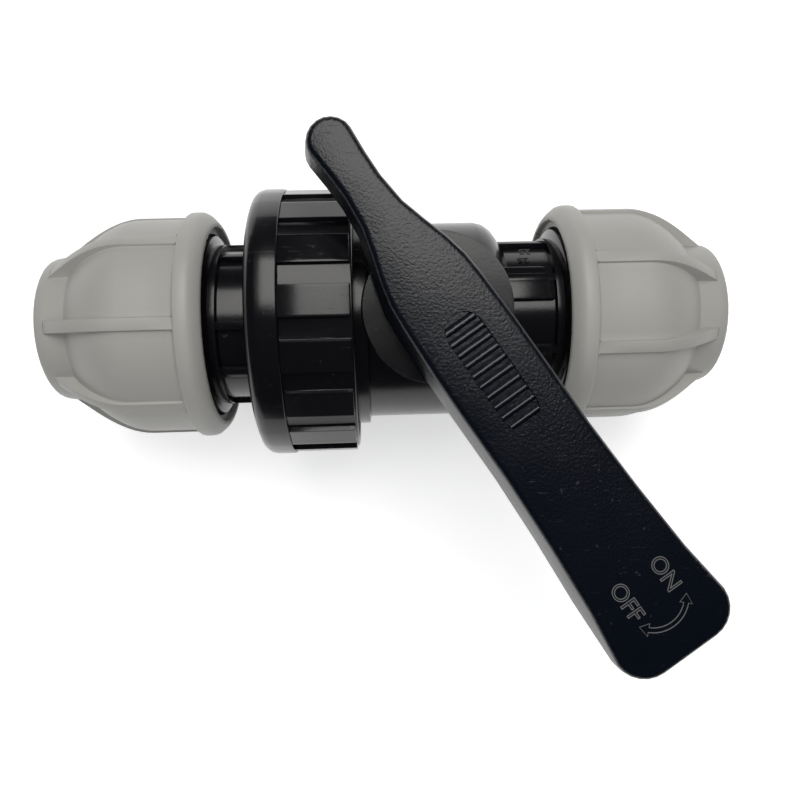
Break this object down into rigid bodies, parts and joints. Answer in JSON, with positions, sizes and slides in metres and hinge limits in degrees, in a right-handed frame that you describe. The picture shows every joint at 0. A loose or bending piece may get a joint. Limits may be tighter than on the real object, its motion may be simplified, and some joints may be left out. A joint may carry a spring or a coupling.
{
  "type": "ball valve",
  "caption": "Plastic ball valve for 25 mm pipe: compression end at each side, one union joint, and a channel-section lever that turns the ball a quarter turn.",
  "frame": {"origin": "centre of the ball, where the flow axis meets the stem axis", "axes": "+X along the flow axis, from the union end to the plain end; +Z along the stem, towards the lever; +Y completes the frame"},
  "size_m": [0.1535, 0.1105, 0.0707],
  "materials": {
    "black_gloss": "glossy moulded black polypropylene",
    "black_satin": "fine spark-textured moulded black polypropylene",
    "nut_grey": "satin moulded warm grey polypropylene",
    "grip_acetal": "satin off-white acetal",
    "seat_white": "waxy white fluoropolymer",
    "ball_plastic": "polished off-white acetal",
    "seal_rubber": "matte black nitrile rubber"
  },
  "bodies": {
    "body": {"valve_body": "black_gloss", "seat_fixed": "seat_white", "seat_front": "seat_white", "seat_carrier": "black_gloss", "carrier_oring": "seal_rubber", "union_face_oring": "seal_rubber", "bush_right": "black_gloss", "pipe_oring_right": "seal_rubber"},
    "lever": {"handle": "black_satin", "stem": "black_gloss", "ball": "ball_plastic", "stem_oring_lower": "seal_rubber", "stem_oring_upper": "seal_rubber"},
    "tail": {"union_tail": "black_gloss", "bush_left": "black_gloss", "pipe_oring_left": "seal_rubber"},
    "union_ring": {"union_nut": "black_gloss"},
    "left_grip": {"grip_ring_left": "grip_acetal"},
    "left_nut": {"nut_left": "nut_grey"},
    "right_grip": {"grip_ring_right": "grip_acetal"},
    "right_nut": {"nut_right": "nut_grey"}
  },
  "joints": [
    {"name": "handle_turn", "type": "hinge", "parent": "body", "child": "lever", "pos_m": [0, 0, 0], "axis": [0, 0, 1], "range_deg": [-33.7, 56.3]},
    {"name": "union_tail_slide", "type": "slide", "parent": "body", "child": "tail", "axis": [1, 0, 0], "range_m": [-0.01, 0]},
    {"name": "union_nut_turn", "type": "hinge", "parent": "tail", "child": "union_ring", "pos_m": [-0.028, 0, 0], "axis": [1, 0, 0], "range_deg": [-901, 1]},
    {"name": "left_grip_slide", "type": "slide", "parent": "tail", "child": "left_grip", "axis": [1, 0, 0], "range_m": [-0.01, 0]},
    {"name": "left_nut_turn", "type": "hinge", "parent": "left_grip", "child": "left_nut", "pos_m": [-0.069, 0, 0], "axis": [1, 0, 0], "range_deg": [-901, 1]},
    {"name": "right_grip_slide", "type": "slide", "parent": "body", "child": "right_grip", "axis": [1, 0, 0], "range_m": [0, 0.01]},
    {"name": "right_nut_turn", "type": "hinge", "parent": "right_grip", "child": "right_nut", "pos_m": [0.049, 0, 0], "axis": [1, 0, 0], "range_deg": [-1, 901]}
  ],
  "couplings": [
    {"joint": "union_nut_turn", "follows": "union_tail_slide", "rad_per_m": 1570.8},
    {"joint": "left_nut_turn", "follows": "left_grip_slide", "rad_per_m": 1570.8},
    {"joint": "right_nut_turn", "follows": "right_grip_slide", "rad_per_m": 1570.8}
  ]
}
